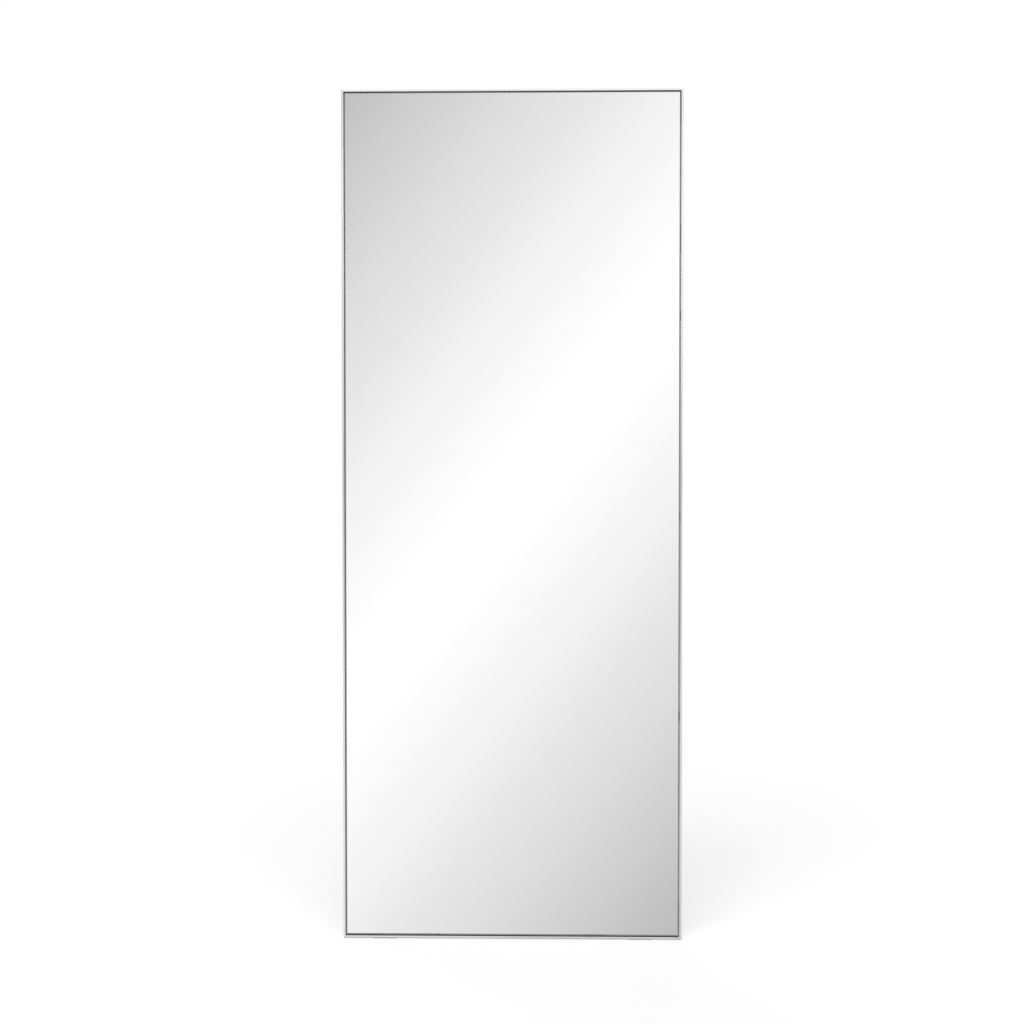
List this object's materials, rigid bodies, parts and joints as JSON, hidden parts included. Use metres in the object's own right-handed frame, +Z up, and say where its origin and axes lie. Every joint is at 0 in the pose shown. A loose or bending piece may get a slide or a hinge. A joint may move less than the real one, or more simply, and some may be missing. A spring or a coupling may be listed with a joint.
{
  "type": "leaning floor mirror",
  "caption": "Tall rectangular floor mirror in a slim mitred frame of polished flat bar, with a dark shadow gap, a backing board, D-ring hangers, wall bumpers and floor pads.",
  "frame": {"origin": "on the floor under the middle of the mirror: the middle of the bounding box in X and Y, at the undersides of the floor pads", "axes": "+X to the right as seen from the front, +Y from the mirror's face to the wall behind it, +Z up along the mirror; the glass faces -Y"},
  "size_m": [0.813, 0.041, 2.0335],
  "materials": {
    "polished_steel": "polished",
    "mirror_glass": "polished",
    "foam_tape": "matte",
    "fibreboard": "matte",
    "rubber": "matte",
    "plate_steel": "satin",
    "zinc_steel": "satin",
    "clear_plastic": "gloss"
  },
  "bodies": {
    "frame": {"frame_top_rail": "polished_steel", "frame_bottom_rail": "polished_steel", "frame_left_stile": "polished_steel", "frame_right_stile": "polished_steel", "mirror_glass": "mirror_glass", "foam_tape_1": "foam_tape", "foam_tape_2": "foam_tape", "foam_tape_3": "foam_tape", "foam_tape_4": "foam_tape", "foam_tape_5": "foam_tape", "backing_board": "fibreboard", "setting_block_left": "rubber", "hanger_plate_left": "plate_steel", "hanger_strap_left": "zinc_steel", "floor_pad_left": "clear_plastic", "setting_block_right": "rubber", "hanger_plate_right": "plate_steel", "hanger_strap_right": "zinc_steel", "floor_pad_right": "clear_plastic", "corner_plate_top_left": "plate_steel", "corner_plate_top_right": "plate_steel", "corner_plate_bottom_left": "plate_steel", "corner_plate_bottom_right": "plate_steel", "side_tab_left_1": "plate_steel", "side_tab_left_2": "plate_steel", "side_tab_left_3": "plate_steel", "side_tab_right_1": "plate_steel", "side_tab_right_2": "plate_steel", "side_tab_right_3": "plate_steel", "top_tab": "plate_steel", "bottom_tab": "plate_steel", "wall_bumper_top_left": "rubber", "wall_bumper_top_right": "rubber", "wall_bumper_bottom_left": "rubber", "wall_bumper_bottom_right": "rubber", "panel_screws": "zinc_steel", "bumper_screws": "zinc_steel", "hanger_screws": "zinc_steel"},
    "left_ring": {"hanger_ring_left": "zinc_steel"},
    "right_ring": {"hanger_ring_right": "zinc_steel"}
  },
  "joints": [
    {"name": "left_ring_swing", "type": "hinge", "parent": "frame", "child": "left_ring", "pos_m": [-0.3775, 0.00325, 1.7035], "axis": [1, 0, 0], "range_deg": [0, 175]},
    {"name": "right_ring_swing", "type": "hinge", "parent": "frame", "child": "right_ring", "pos_m": [0.3775, 0.00325, 1.7035], "axis": [1, 0, 0], "range_deg": [0, 175]}
  ]
}
